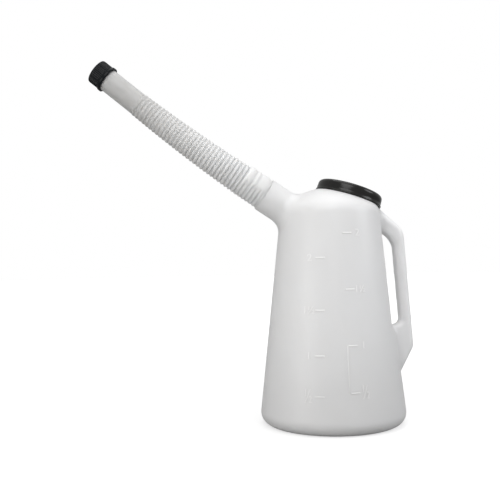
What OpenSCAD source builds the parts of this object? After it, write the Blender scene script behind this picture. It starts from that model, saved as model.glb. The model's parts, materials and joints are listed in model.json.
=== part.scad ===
// Oil measuring jug, two litres.
// A blow-moulded cone with a dome, an open top and a hollow handle, a flexible
// corrugated spout with a screw cap, and a push-on lid over the filler mouth.
// Millimetres. The origin is the centre of the base on the floor, +Z is up,
// the handle stands out along +X and the spout along -X.

/* [Body] */
// Diameter that the tapering side would have at the floor
body_d = 147.4; // [130:0.2:165]
// Lean of the side wall from upright, in degrees
body_taper = 6.5; // [4:0.1:8]
// Wall thickness of the blow-moulded body
wall = 1.8; // [1.2:0.1:2.4]
// Radius that rounds the foot of the side into the base
base_round = 12; // [8:0.2:16]
// Width of the flat ring that the jug stands on
foot_w = 5; // [3:0.5:8]
// How far the middle of the base is pushed up
base_rise = 4; // [2:0.5:6]
// Radius of the domed top
dome_r = 70; // [68:0.5:74]
// Height of the body up to the centre of the dome; the neck, mouth and grip go up with it
dome_z = 165.8; // [155:0.2:175]
// Radius that rounds the side into the dome
shoulder_round = 15; // [10:0.5:18]

/* [Finger recess] */
// Distance from the jug's axis to the flat behind the grip, at mid height
recess_x = 49.3; // [47:0.2:54]
// Lean of that flat from upright, in degrees
recess_lean = 3; // [0:0.5:5]
// Height at which the flat ends above, from the centre of the dome
recess_top_up = 32.2; // [26:0.2:36]
// Height at which the flat ends below
recess_floor_z = 97; // [90:0.5:104]
// Slope of the floor under the flat, in degrees
recess_floor_slope = 30; // [20:1:45]

/* [Filler mouth] */
// Lean of the mouth from upright towards the handle, in degrees
mouth_tilt = 18.2; // [14:0.2:20]
// Distance from the centre of the dome to the seat under the lid
seat_h = 61.5; // [60.5:0.1:62.5]
// Outer radius of the mouth's wall
mouth_r = 29.6; // [27:0.2:30]
// How far the rolled edge of the mouth stands out
lip_out = 1.6; // [1:0.1:1.8]
// Height of the rolled edge
lip_h = 2.4; // [1.6:0.1:3]

/* [Spout neck] */
// Distance of the neck's rim from the jug's axis
neck_x = 66.4; // [60:0.2:75]
// Height of the centre of the neck's rim above the centre of the dome
neck_up = 63.4; // [58:0.2:68]
// Rise of the neck above level, in degrees
neck_rise = 33.8; // [28:0.2:40]
// Outer radius of the neck
neck_r = 17; // [16:0.1:18]
// Length of the straight part of the neck
neck_len = 17; // [14:0.5:20]
// Length over which the neck flares into the body
flare_len = 15; // [10:0.5:18]
// How much the flare adds to the neck's radius
flare_out = 3.8; // [2:0.2:6]
// Depth of the socket that holds the spout
socket_len = 24; // [20:0.5:28]

/* [Handle] */
// Thickness of the grip, seen from the side
grip_t = 10.6; // [9:0.2:13]
// Width of the grip across the jug
grip_w = 18; // [15:0.5:22]
// Distance from the jug's axis to the middle of the grip's top
grip_top_x = 70.8; // [69:0.2:74]
// Height of the top of the straight grip above the centre of the dome
grip_top_up = 18.2; // [12:0.2:22]
// Distance from the jug's axis to the middle of the grip's lower corner
grip_foot_x = 78.8; // [77:0.2:82]
// Height of the grip's lower corner
grip_foot_z = 75.6; // [68:0.2:82]
// Radius of the bend between the grip and the arm above it, on its middle line
arm_bend_r = 15.5; // [12:0.5:18]
// Slope of the arm down to the grip, in degrees
arm_slope = 37; // [30:1:44]
// Length of the arm from the bend into the shoulder
arm_len = 26; // [22:0.5:28]
// How much thicker the arm is than the grip, on each side
arm_swell = 1.2; // [0.6:0.1:1.6]
// Radius of the brace that rounds the slot's upper corner, on its middle line
brace_r = 28; // [24:0.5:30]
// How far below the top of the straight grip the brace starts
brace_drop = 13; // [12:0.5:18]
// Turn of the brace from the grip into the body, in degrees
brace_turn = 96; // [90:1:100]
// Height of the web between the grip and the body at the bottom of the slot
web_z = 91.5; // [87:0.5:93]
// How much slimmer the web and the brace are than the grip, on each side
web_inset = 0.4; // [0.3:0.1:1]
// Lean of the handle's lower edge from upright, in degrees
heel_lean = 28.8; // [24:0.4:34]
// Radius of the bend at the grip's lower corner, on its middle line
heel_bend_r = 8; // [6.5:0.5:12]
// Length of the handle's lower edge, from the corner into the body
heel_len = 33; // [30:0.5:36]

/* [Scale marks] */
// Length of a mark round the jug
mark_len = 9; // [6:0.5:12]
// Height of a mark
mark_h = 1.4; // [1:0.1:2]
// How far a mark stands out of the wall
mark_out = 0.4; // [0.3:0.1:1]
// Height of the lowest mark of the litre scale
litre_z = 37.6; // [34:0.2:42]
// Rise from the lowest litre mark to each mark above it
litre_rise = [37, 79, 128];
// Place of the litre scale round the jug, in degrees from the handle
litre_turn = -114.6; // [-125:0.2:-105]
// Height of the lowest mark of the pint scale
pint_z = 40.7; // [38:0.2:44]
// Rise from the lowest pint mark to each mark above it
pint_rise = [43, 95, 148];
// Place of the pint scale round the jug, in degrees from the handle
pint_turn = -87; // [-95:0.2:-80]

/* [Spout] */
// Length of the plug that goes into the neck
plug_len = 20; // [16:0.5:22]
// Gap between the plug and the neck's socket
plug_gap = 0.1; // [0.05:0.05:0.3]
// Wall thickness of the spout
spout_wall = 1.4; // [1:0.1:1.6]
// Number of ridges
ridges = 30; // [24:1:34]
// Distance from ridge to ridge
ridge_pitch = 4.18; // [3.8:0.02:4.6]
// How much smaller the first ridge is than the neck, in radius
ridge_root_in = 1.4; // [0.6:0.1:1.8]
// Outer radius of the last ridge, next to the tip
ridge_tip_r = 12; // [11.8:0.1:12.6]
// Depth of the grooves at the neck end
groove_root = 1.3; // [0.9:0.1:1.4]
// Depth of the grooves at the tip end
groove_tip = 0.6; // [0.4:0.1:0.8]
// Bend of the ridged part as it stands, in degrees
spout_bend = 10.4; // [4:0.2:14]
// Direction of that bend, turned from straight up towards the back, in degrees
bend_turn = 53.4; // [30:0.2:70]
// Length of the plain tube between the ridges and the cap
plain_len = 38.2; // [32:0.2:44]
// Outer radius of the plain tube at the cap
tip_r = 11.4; // [11.2:0.1:11.6]
// Outer radius of the threaded end
thread_r = 10.1; // [9.8:0.1:10.3]

/* [Lid] */
// Height of the lid over all
lid_h = 11.6; // [10.4:0.2:14]
// Radius of the lid's side
lid_r = 33.4; // [33.2:0.1:35]
// How far the lid's lower edge stands out
lid_lip = 0.5; // [0.3:0.1:0.8]
// Height of the lid's lower edge
lid_lip_h = 1; // [0.8:0.1:2]
// Radius that rounds the top edge of the lid
lid_round = 4.4; // [2:0.2:5]
// Thickness of the lid's skin
lid_wall = 1.6; // [1.2:0.1:2]
// Depth of the ring that plugs the mouth
lid_plug_h = 5; // [3:0.5:6]
// Gap between the lid and what it closes on
lid_gap = 0.25; // [0.15:0.05:0.35]

/* [Spout cap] */
// Length of the cap over all
cap_len = 15.2; // [13.6:0.2:17]
// Thickness of the cap's end wall
cap_wall = 1.6; // [1.2:0.1:2]
// Radius of the cap over its ribs
cap_r = 12.6; // [12.4:0.1:13.2]
// How far the cap's skirt stands out beyond the ribs
skirt_out = 0.8; // [0.5:0.1:1.2]
// Length of the skirt
skirt_len = 3.4; // [3:0.2:4]
// Gap between the skirt and the plain tube
skirt_gap = 0.5; // [0.4:0.1:0.7]
// Number of grip ribs
cap_ribs = 40; // [24:2:48]
// Depth of the grooves between the ribs
rib_depth = 0.4; // [0.3:0.1:0.5]
// Gap between the threaded end and the cap's bore
cap_gap = 0.6; // [0.4:0.1:0.7]
// Thickness of the sealing disc in the cap
seal_t = 1.2; // [0.8:0.1:1.6]
// Gap on each face of the sealing disc
seal_gap = 0.05; // [0.05:0.05:0.15]

/* [Hidden] */
$fn = 96;
// Overlap that makes neighbouring shapes one piece
eps = 0.2;
// Steps in a rounded corner
arc_steps = 6;

body_r = body_d / 2;
slope = tan(body_taper);
// Radius of the tapering side at height z
function side_r(z) = body_r - slope * z;
// Points on an arc about c, from angle a to angle b
function arc(c, r, a, b, n = arc_steps) =
    [for (i = [0 : n]) let (t = a + (b - a) * i / n) c + r * [cos(t), sin(t)]];

// The shoulder's arc touches the side wall and, from inside, the dome
shoulder_a = body_r - shoulder_round / cos(body_taper);
shoulder_b = shoulder_a * slope + dome_z;
shoulder_cz = (shoulder_b + sqrt(pow(shoulder_b, 2) - (1 + slope * slope)
    * (pow(shoulder_a, 2) + pow(dome_z, 2) - pow(dome_r - shoulder_round, 2)))) / (1 + slope * slope);
shoulder_c = [shoulder_a - slope * shoulder_cz, shoulder_cz];
shoulder_end = atan2(shoulder_cz - dome_z, shoulder_c[0]);
base_c = [side_r(base_round) - base_round / cos(body_taper), base_round];
foot_r = base_c[0] - foot_w;
rise_run = 2 * base_rise;

// The mouth's edge stands just below the lid's top plate
mouth_h = lid_h - lid_wall;
mouth_bore_r = mouth_r - wall;
neck_bore_r = neck_r - wall;
neck_z = dome_z + neck_up;
grip_top_z = dome_z + grip_top_up;
recess_top_z = dome_z + recess_top_up;
ridge_root_r = neck_r - ridge_root_in;
grip_lean = atan2(grip_foot_x - grip_top_x, grip_top_z - grip_foot_z);
grip_top = [grip_top_x, grip_top_z];
grip_foot = [grip_foot_x, grip_foot_z];
brace_at = [grip_top_x + brace_drop * tan(grip_lean), grip_top_z - brace_drop];
heel_turn = grip_lean + heel_lean;
// The corner's bend takes this much off each straight length that it joins
heel_cut = heel_bend_r * tan(heel_turn / 2);
grip_len = norm(grip_foot - grip_top) - heel_cut;
arm_turn = 90 - grip_lean - arm_slope;
// The web starts this far inside the side, and the neck this far under its flare
root_depth = 10;
web_in = [side_r(web_z) - root_depth, web_z];
// Place of the finger recess's flat at height z
function recess_at(z) = recess_x - (z - (recess_top_z + recess_floor_z) / 2) * tan(recess_lean);
web_out = [grip_foot_x - (web_z - grip_foot_z) * tan(grip_lean), web_z];
heel_in = grip_foot - heel_len * [sin(heel_lean), cos(heel_lean)];

// Heights of a scale's marks, from the lowest one and the rise to the others
function mark_heights(lowest, rise) = concat([lowest], [for (r = rise) lowest + r]);

// Bands between the neck and the first ridge: start, end and radius of each
band_c = [0.4, 12.2, neck_r - 0.2];
band_b = [13.8, 17, neck_r + 0.4];
band_a = [18.6, 26.4, neck_r - 0.1];
band_groove = 1.2;
ridge_start = 27.2;
ridged_len = ridges * ridge_pitch;
bend_r = ridged_len / (spout_bend * PI / 180);
plug_r = neck_bore_r - plug_gap;
plug_bore_r = plug_r - spout_wall;
tip_bore_r = thread_r - spout_wall;
// Straight stretches that stand for the curved bore
bore_steps = 4;

cap_open = ridge_start + ridged_len + plain_len;
// The plain tube reaches a little way into the skirt
thread_start = skirt_len - 0.4;
cap_end_t = cap_len - cap_wall;
seal_t0 = cap_end_t - seal_gap - seal_t;
rim_t = seal_t0 - seal_gap;
cap_bore_r = thread_r + cap_gap;
seal_r = cap_bore_r - 0.3;

// Puts its children on the mouth's axis, with the seat at height 0
module at_mouth() {
    translate([0, 0, dome_z]) rotate([0, mouth_tilt, 0]) translate([0, 0, seat_h]) children();
}

// Puts its children on the neck's axis, with the rim at height 0
module at_neck() {
    translate([-neck_x, 0, neck_z]) rotate([0, neck_rise - 90, 0]) children();
}

// Puts its children on the ridged part, a degrees along its bend
module at_bend(a) {
    at_neck() rotate([0, 0, bend_turn]) translate([bend_r, 0, ridge_start])
        rotate([0, a, 0]) translate([-bend_r, 0, 0]) children();
}

// Puts its children on the straight tip, with the cap's open end at height 0
module at_cap() {
    at_bend(spout_bend) translate([0, 0, plain_len]) children();
}

// The turned outline of the body, t inside its outer skin
module shell_profile(t) {
    polygon(concat(
        [[0, base_rise + t], [foot_r - rise_run + t / 2, base_rise + t], [foot_r + t / 2, t]],
        arc(base_c, base_round - t, -90, body_taper),
        arc(shoulder_c, shoulder_round - t, body_taper, shoulder_end),
        arc([0, dome_z], dome_r - t, shoulder_end, 90, 10)));
}

// The hollow that makes room for fingers behind the grip, t inside the outer skin
module finger_recess(t) {
    reach = body_r / 2;
    up = t * tan(22.5);
    down = t * tan(45 - recess_floor_slope / 2);
    out = [cos(recess_floor_slope), -sin(recess_floor_slope)] * reach;
    top = [recess_at(recess_top_z) - t, recess_top_z + up];
    floor = [recess_at(recess_floor_z) - t, recess_floor_z - down];
    rotate([90, 0, 0]) linear_extrude(body_d, center = true)
        polygon([top, floor, floor + out, top + [reach, reach]]);
}

// Puts its children at the place [x, z] in the jug's middle plane, turned a degrees from upright
module at_xz(p, a) {
    translate([p[0], 0, p[1]]) rotate([0, a, 0]) children();
}

// Carries a flat section round a bend of radius r, through a degrees towards +X
module bend(r, a) {
    translate([r, 0, 0]) rotate([0, 0, 180]) rotate([90, 0, 0])
        rotate_extrude(angle = a) translate([r, 0]) children();
}

// Section of the grip, t inside its outer skin
module grip_section(t) {
    flat = grip_w / 2 - grip_t / 2;
    for (s = [-1, 1]) translate([0, s * flat]) circle(r = grip_t / 2 - t);
    square([grip_t - 2 * t, 2 * flat], center = true);
}

// The grip with its bent arm above and its lower edge below
module grip(t) {
    at_xz(grip_top, -grip_lean) rotate([0, 0, 180]) {
        bend(arm_bend_r, arm_turn) grip_section(t);
        translate([arm_bend_r, 0, 0]) rotate([0, arm_turn, 0]) translate([-arm_bend_r, 0, 0])
            linear_extrude(arm_len) grip_section(t - arm_swell);
    }
    at_xz(grip_top, 180 - grip_lean) {
        linear_extrude(grip_len) grip_section(t);
        translate([0, 0, grip_len]) {
            bend(heel_bend_r, heel_turn) grip_section(t);
            translate([heel_bend_r, 0, 0]) rotate([0, heel_turn, 0]) translate([-heel_bend_r, 0, 0])
                linear_extrude(heel_len - heel_cut) grip_section(t);
        }
    }
}

// The brace between the grip and the body, under the arm
module brace(t) {
    at_xz(brace_at, -grip_lean) rotate([0, 0, 180]) bend(brace_r, brace_turn) grip_section(t + web_inset);
}

// The web that fills the handle's lower corner
module web(t) {
    at_xz(web_in, 90) linear_extrude(web_out[0] - web_in[0]) grip_section(t + web_inset);
    rotate([90, 0, 0]) linear_extrude(grip_w - 2 * t - 4 * web_inset, center = true)
        polygon([web_in, web_out, grip_foot - [heel_cut, 0], heel_in]);
}

// The body's cone and dome with its handle, cut flat for the seat round the mouth
module shell(t) {
    difference() {
        union() {
            difference() {
                rotate_extrude() shell_profile(t);
                finger_recess(t);
            }
            grip(t);
            brace(t);
            web(t);
        }
        at_mouth() translate([0, 0, -t]) cylinder(r = dome_r, h = dome_r);
    }
}

// Outline of the neck, t inside its outer skin; its rim is at height 0
module neck_solid(t) {
    neck_foot = -neck_len - flare_len - root_depth;
    rotate_extrude() polygon([[0, 0], [neck_r - t, 0], [neck_r - t, -neck_len],
        [neck_r - t + flare_out * 0.3, -neck_len - flare_len * 0.5],
        [neck_r - t + flare_out, -neck_len - flare_len],
        [neck_r - t + flare_out, neck_foot], [0, neck_foot]]);
}

// One row of scale marks on the side of the body, turned round its axis
module marks(heights, turn) {
    for (z = heights) rotate([0, 0, turn]) translate([side_r(z), 0, z]) rotate([0, -body_taper, 0])
        translate([mark_out / 2 - wall / 4, 0, 0])
            cube([mark_out + wall / 2, mark_len, mark_h], center = true);
}

module jug_body() {
    color([0.92, 0.92, 0.91]) difference() {
        union() {
            shell(0);
            at_neck() neck_solid(0);
            at_mouth() translate([0, 0, -wall]) cylinder(r = mouth_r, h = wall + mouth_h);
            at_mouth() translate([0, 0, mouth_h - lip_h])
                cylinder(r1 = mouth_r + lip_out - 0.6, r2 = mouth_r + lip_out, h = lip_h);
            marks(mark_heights(litre_z, litre_rise), litre_turn);
            marks(mark_heights(pint_z, pint_rise), pint_turn);
        }
        shell(wall);
        at_neck() translate([0, 0, -socket_len]) cylinder(r = neck_bore_r, h = socket_len + 1);
        at_neck() translate([0, 0, -socket_len + eps]) mirror([0, 0, 1])
            cylinder(r = neck_bore_r + flare_out / 2, h = root_depth + flare_len / 3);
        at_mouth() translate([0, 0, -wall - 6]) cylinder(r = mouth_bore_r, h = wall + mouth_h + 7);
    }
}

// A plain band of the spout: a short barrel with eased edges
module band(b) {
    translate([0, 0, b[0]]) cylinder(r1 = b[2] - band_groove / 2, r2 = b[2], h = (b[1] - b[0]) / 2);
    translate([0, 0, (b[0] + b[1]) / 2]) cylinder(r1 = b[2], r2 = b[2] - band_groove / 4, h = (b[1] - b[0]) / 2);
}

// One ridge of the spout, from groove to groove
module ridge(crest, depth) {
    half = ridge_pitch / 2;
    rotate_extrude() polygon([[0, -half - eps], [crest - depth - eps, -half - eps],
        [crest, -half * 0.4], [crest, half * 0.4],
        [crest - depth - eps, half + eps], [0, half + eps]]);
}

// Radius of the bore, a share s of the way along the ridged part
function bore_r(s) = plug_bore_r + (tip_bore_r - plug_bore_r) * s;

module spout_bore() {
    at_neck() translate([0, 0, -plug_len - 1]) cylinder(r = plug_bore_r, h = plug_len + 1 + ridge_start);
    for (i = [0 : bore_steps - 1]) {
        step = spout_bend / bore_steps;
        chord = 2 * bend_r * sin(step / 2);
        at_bend(i * step) {
            sphere(r = bore_r(i / bore_steps) + 0.4);
            rotate([0, step / 2, 0])
                cylinder(r1 = bore_r(i / bore_steps), r2 = bore_r((i + 1) / bore_steps), h = chord);
        }
    }
    at_bend(spout_bend) sphere(r = tip_bore_r + 0.4);
    at_bend(spout_bend) cylinder(r = tip_bore_r, h = plain_len + rim_t + 1);
}

module flexible_spout() {
    color([0.9, 0.9, 0.9]) difference() {
        union() {
            at_neck() {
                translate([0, 0, -plug_len]) cylinder(r = plug_r, h = plug_len + band_c[0] + eps);
                translate([0, 0, band_c[0]])
                    cylinder(r = band_c[2] - band_groove, h = ridge_start - band_c[0] + eps);
                band(band_c);
                band(band_b);
                band(band_a);
            }
            for (i = [0 : ridges - 1]) {
                s = i / (ridges - 1);
                at_bend(spout_bend * (i + 0.5) / ridges)
                    ridge(ridge_root_r + (ridge_tip_r - ridge_root_r) * s,
                        groove_root + (groove_tip - groove_root) * s);
            }
            at_bend(spout_bend)
                cylinder(r1 = ridge_tip_r - groove_tip, r2 = tip_r, h = plain_len + thread_start);
            at_cap() cylinder(r = thread_r, h = rim_t);
        }
        spout_bore();
    }
}

module filler_lid() {
    bottom = lid_gap;
    plug_out = mouth_bore_r - lid_gap;
    color([0.12, 0.12, 0.12]) at_mouth() translate([0, 0, bottom]) difference() {
        rotate_extrude() polygon(concat(
            [[0, 0], [lid_r + lid_lip, 0], [lid_r + lid_lip, lid_lip_h], [lid_r, lid_lip_h + 0.3]],
            arc([lid_r - lid_round - 0.3, lid_h - lid_round], lid_round, 0, 90),
            [[0, lid_h]]));
        difference() {
            translate([0, 0, -1]) cylinder(r = lid_r - lid_wall, h = 1 + mouth_h);
            translate([0, 0, mouth_h - lid_plug_h]) difference() {
                cylinder(r = plug_out, h = lid_plug_h + 1);
                translate([0, 0, -1]) cylinder(r = plug_out - lid_wall, h = lid_plug_h + 1);
            }
        }
    }
}

module spout_cap() {
    rib_r = cap_r * PI / cap_ribs / 2;
    color([0.1, 0.1, 0.11]) at_cap() difference() {
        union() {
            cylinder(r1 = cap_r + skirt_out, r2 = cap_r + skirt_out * 0.6, h = skirt_len);
            cylinder(r = cap_r, h = cap_len - 0.8);
            translate([0, 0, cap_len - 0.8]) cylinder(r1 = cap_r, r2 = cap_r - 0.8, h = 0.8);
        }
        translate([0, 0, -1]) cylinder(r = tip_r + skirt_gap, h = 1 + skirt_len);
        translate([0, 0, -1]) cylinder(r = cap_bore_r, h = 1 + cap_end_t);
        for (i = [0 : cap_ribs - 1]) rotate([0, 0, 360 * (i + 0.5) / cap_ribs])
            translate([cap_r + rib_r * 0.5, 0, skirt_len])
                cylinder(r = rib_r * 0.5 + rib_depth, h = cap_len, $fn = 8);
    }
}

module spout_cap_seal() {
    color([0.85, 0.85, 0.82]) at_cap() translate([0, 0, seal_t0]) cylinder(r = seal_r, h = seal_t);
}

jug_body();
filler_lid();
flexible_spout();
spout_cap();
spout_cap_seal();
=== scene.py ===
"""Oil measuring jug: a milky blow-moulded body, a black push-on lid and a corrugated spout.

Sizes of the pieces are in millimetres and are brought to metres when a piece is finished.
"""

import json
import logging
import math
from dataclasses import dataclass, replace
from enum import Enum
from typing import Callable, Iterable, Optional, Sequence

import bmesh
import bpy
import numpy as np
from mathutils import Matrix, Vector
from mathutils.bvhtree import BVHTree

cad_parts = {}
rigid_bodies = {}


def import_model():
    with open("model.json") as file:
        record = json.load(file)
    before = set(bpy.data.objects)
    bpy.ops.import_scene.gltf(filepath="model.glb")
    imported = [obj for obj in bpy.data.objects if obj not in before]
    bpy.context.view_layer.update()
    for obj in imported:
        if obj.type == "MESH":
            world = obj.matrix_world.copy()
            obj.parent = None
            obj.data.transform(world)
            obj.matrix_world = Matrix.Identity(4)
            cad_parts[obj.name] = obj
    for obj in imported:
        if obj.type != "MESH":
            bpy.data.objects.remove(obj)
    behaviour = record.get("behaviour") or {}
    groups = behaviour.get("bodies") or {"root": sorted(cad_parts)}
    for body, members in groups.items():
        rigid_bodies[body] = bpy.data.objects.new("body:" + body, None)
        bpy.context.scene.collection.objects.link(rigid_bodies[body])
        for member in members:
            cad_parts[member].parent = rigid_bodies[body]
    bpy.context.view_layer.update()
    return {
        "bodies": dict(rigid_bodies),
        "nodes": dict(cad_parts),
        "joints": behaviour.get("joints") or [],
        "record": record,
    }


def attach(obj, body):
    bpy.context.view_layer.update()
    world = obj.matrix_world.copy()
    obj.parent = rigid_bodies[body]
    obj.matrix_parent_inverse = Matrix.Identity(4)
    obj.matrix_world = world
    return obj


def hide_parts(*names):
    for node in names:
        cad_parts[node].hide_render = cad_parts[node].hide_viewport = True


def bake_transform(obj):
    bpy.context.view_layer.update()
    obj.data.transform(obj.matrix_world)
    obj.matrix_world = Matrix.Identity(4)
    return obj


LOG = logging.getLogger("oil_jug")
ALONG = "along"
MM = 0.001
TURN = 2.0 * math.pi
THREAD_PITCH = 3.0
THREAD_STEPS = 48
THREAD_SUNK = 0.35
WAVE_SCALE = 55.0
FINE_SHARE = 0.08
SEAM_WIDTH = 0.0006
# Heights in metres over which painted shade darkens the body towards its foot.
FOOT_PAINTED_SHADE_REACH = (0.0, 0.12)
# Plane and distances out from the side over which a painted glow lightens the handle.
SIDE_PLANE = (1.0, 0.0, 0.114)
HANDLE_PAINTED_GLOW_REACH = (0.074, 0.083)
Point2 = tuple[float, float]
Point3 = tuple[float, float, float]
Colour = tuple[float, float, float]
Mesh = bmesh.types.BMesh
Tree = bpy.types.NodeTree
Socket = bpy.types.NodeSocket
BUILT: dict[str, bpy.types.Material] = {}


class Body(str, Enum):
    """Moving bodies of the jug."""

    JUG = "jug"
    LID = "lid"
    SPOUT = "spout"
    CAP_SEAL = "cap_seal"
    CAP = "cap"


@dataclass(frozen=True)
class Layout:
    """Places of the jug's axes, the same as the solids have."""

    dome_z: float = 165.8
    mouth_tilt: float = 18.2
    seat_h: float = 61.5
    neck_x: float = 66.4
    neck_z: float = 229.2
    neck_rise: float = 33.8
    ridge_start: float = 27.2
    ridged_len: float = 125.4
    spout_bend: float = 10.4
    bend_turn: float = 53.4
    plain_len: float = 38.2

    @property
    def bend_r(self) -> float:
        """Radius of the ridged part's middle line."""
        return self.ridged_len / math.radians(self.spout_bend)

    @property
    def ridge_end(self) -> float:
        """Distance along the spout at which the ridges end."""
        return self.ridge_start + self.ridged_len

    def mouth(self) -> Matrix:
        """Frame of the mouth, with the seat under the lid at height 0."""
        tilt = Matrix.Rotation(math.radians(self.mouth_tilt), 4, "Y")
        return Matrix.Translation((0, 0, self.dome_z)) @ tilt @ Matrix.Translation((0, 0, self.seat_h))

    def neck(self) -> Matrix:
        """Frame of the neck, with its rim at height 0."""
        lean = Matrix.Rotation(math.radians(self.neck_rise - 90.0), 4, "Y")
        return Matrix.Translation((-self.neck_x, 0, self.neck_z)) @ lean

    def along_spout(self, s: float) -> Matrix:
        """Frame of the spout's middle line.

        Args:
            s: Distance from the neck's rim along the spout.

        Returns:
            Matrix whose +Z runs on along the spout.
        """
        base = self.neck() @ Matrix.Rotation(math.radians(self.bend_turn), 4, "Z")
        if s <= self.ridge_start:
            return base @ Matrix.Translation((0, 0, s))
        bent = min(s, self.ridge_end) - self.ridge_start
        arc = Matrix.Translation((self.bend_r, 0, self.ridge_start))
        arc = arc @ Matrix.Rotation(bent / self.bend_r, 4, "Y") @ Matrix.Translation((-self.bend_r, 0, 0))
        return base @ arc @ Matrix.Translation((0, 0, max(0.0, s - self.ridge_end)))

    def cap(self) -> Matrix:
        """Frame of the cap, with its open end at height 0."""
        return self.along_spout(self.ridge_end + self.plain_len)


LAYOUT = Layout()


def arc_points(centre: Point2, radius: float, start: float, end: float, steps: int) -> list[Point2]:
    """Points on an arc of a profile.

    Args:
        centre: Centre as radius and height.
        radius: Radius of the arc.
        start: First angle in degrees, from straight outwards.
        end: Last angle in degrees.
        steps: Number of stretches.

    Returns:
        The points, both ends included.
    """
    angles = (math.radians(start + (end - start) * i / steps) for i in range(steps + 1))
    return [(centre[0] + radius * math.cos(a), centre[1] + radius * math.sin(a)) for a in angles]


def turned(profile: Sequence[Point2], steps: int, closed: bool = False) -> Mesh:
    """Turn a profile about the Z axis.

    Args:
        profile: Points as radius and height.
        steps: Number of steps in the full turn.
        closed: Whether the last point joins the first.

    Returns:
        Mesh with its faces pointing outwards.
    """
    bm = bmesh.new()
    verts = [bm.verts.new((r, 0.0, z)) for r, z in profile]
    pairs = list(zip(verts, verts[1:])) + ([(verts[-1], verts[0])] if closed else [])
    edges = [bm.edges.new(pair) for pair in pairs]
    bmesh.ops.spin(bm, geom=verts + edges, cent=(0, 0, 0), axis=(0, 0, 1), dvec=(0, 0, 0),
                   angle=TURN, steps=steps, use_merge=True, use_duplicate=False)
    bmesh.ops.remove_doubles(bm, verts=bm.verts, dist=1e-4)
    bmesh.ops.recalc_face_normals(bm, faces=bm.faces)
    return bm


def joined(parts: Iterable[Mesh]) -> Mesh:
    """Put several meshes into one.

    Args:
        parts: Meshes, which are freed.

    Returns:
        One mesh with all their faces.
    """
    whole = bmesh.new()
    for part in parts:
        buffer = bpy.data.meshes.new("buffer")
        part.to_mesh(buffer)
        part.free()
        whole.from_mesh(buffer)
        bpy.data.meshes.remove(buffer)
    return whole


def helix(radius: float, turns: float, height: float, start: float, inward: bool) -> Mesh:
    """A screw thread of the cap's pitch, swept from a small wedge.

    Args:
        radius: Radius of the wall that carries the thread.
        turns: Number of turns.
        height: How far the thread stands out of the wall.
        start: Height of its lower end.
        inward: Whether it stands inwards.

    Returns:
        Closed mesh of the thread.
    """
    side = -1.0 if inward else 1.0
    root, foot, crest = -side * THREAD_SUNK, THREAD_PITCH * 0.32, THREAD_PITCH * 0.112
    section = [(root, -foot), (side * height, -crest), (side * height, crest), (root, foot)]
    bm = bmesh.new()
    verts = [bm.verts.new((radius + r, 0.0, start + z)) for r, z in section]
    first = bm.faces.new(verts)
    steps = int(turns * THREAD_STEPS)
    result = bmesh.ops.spin(bm, geom=[first] + list(first.edges) + verts, cent=(0, 0, 0), axis=(0, 0, 1),
                            dvec=(0, 0, THREAD_PITCH * turns / steps), angle=TURN * turns, steps=steps,
                            use_merge=False, use_duplicate=False)
    for end in (verts, verts_of(result["geom_last"])):
        middle = sum(v.co.z for v in end) / len(end)
        for vert in end:
            flat = Vector((vert.co.x, vert.co.y, 0.0)).normalized() * (radius + root)
            vert.co = flat.lerp(vert.co, 0.25) + Vector((0, 0, 0.75 * middle))
    bmesh.ops.recalc_face_normals(bm, faces=bm.faces)
    return bm


def verts_of(geom: Iterable[object]) -> list[bmesh.types.BMVert]:
    """Vertices among the results of an operator."""
    return [item for item in geom if isinstance(item, bmesh.types.BMVert)]


def edges_within(geom: Iterable[object]) -> list[bmesh.types.BMEdge]:
    """Edges among the results of an operator that join two of its vertices."""
    made = list(geom)
    inside = set(verts_of(made))
    return [item for item in made if isinstance(item, bmesh.types.BMEdge) and set(item.verts) <= inside]


def close_ends(bm: Mesh) -> Mesh:
    """Fill the open ends of a swept mesh and point its faces outwards."""
    bmesh.ops.holes_fill(bm, edges=bm.edges, sides=0)
    bmesh.ops.recalc_face_normals(bm, faces=bm.faces)
    return bm


def to_object(bm: Mesh, name: str, place: Optional[Matrix] = None,
              sharp_angle: float = 38.0) -> bpy.types.Object:
    """Make an object of a mesh in millimetres.

    Args:
        bm: Mesh, which is freed.
        name: Name of the piece.
        place: Frame that the mesh is moved to, in millimetres.
        sharp_angle: Edges above this angle, in degrees, shade as sharp.

    Returns:
        Object at the origin, with its place in its mesh.
    """
    matrix = Matrix.Scale(MM, 4) @ (place or Matrix.Identity(4))
    bmesh.ops.transform(bm, matrix=matrix, verts=bm.verts)
    mesh = bpy.data.meshes.new(name)
    bm.to_mesh(mesh)
    bm.free()
    return mesh_object(mesh, name, sharp_angle)


def mesh_object(mesh: bpy.types.Mesh, name: str, sharp_angle: float = 38.0) -> bpy.types.Object:
    """Link a mesh as a smooth-shaded object.

    Args:
        mesh: Mesh in metres.
        name: Name of the piece.
        sharp_angle: Edges above this angle, in degrees, shade as sharp.

    Returns:
        The linked object.
    """
    mesh.shade_smooth()
    mesh.set_sharp_from_angle(angle=math.radians(sharp_angle))
    obj = bpy.data.objects.new(name, mesh)
    bpy.context.scene.collection.objects.link(obj)
    return obj


def baked(obj: bpy.types.Object) -> bpy.types.Mesh:
    """Mesh of an object with its modifiers applied.

    Args:
        obj: Object to read.

    Returns:
        New mesh.
    """
    graph = bpy.context.evaluated_depsgraph_get()
    graph.update()
    return bpy.data.meshes.new_from_object(obj.evaluated_get(graph))


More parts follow.
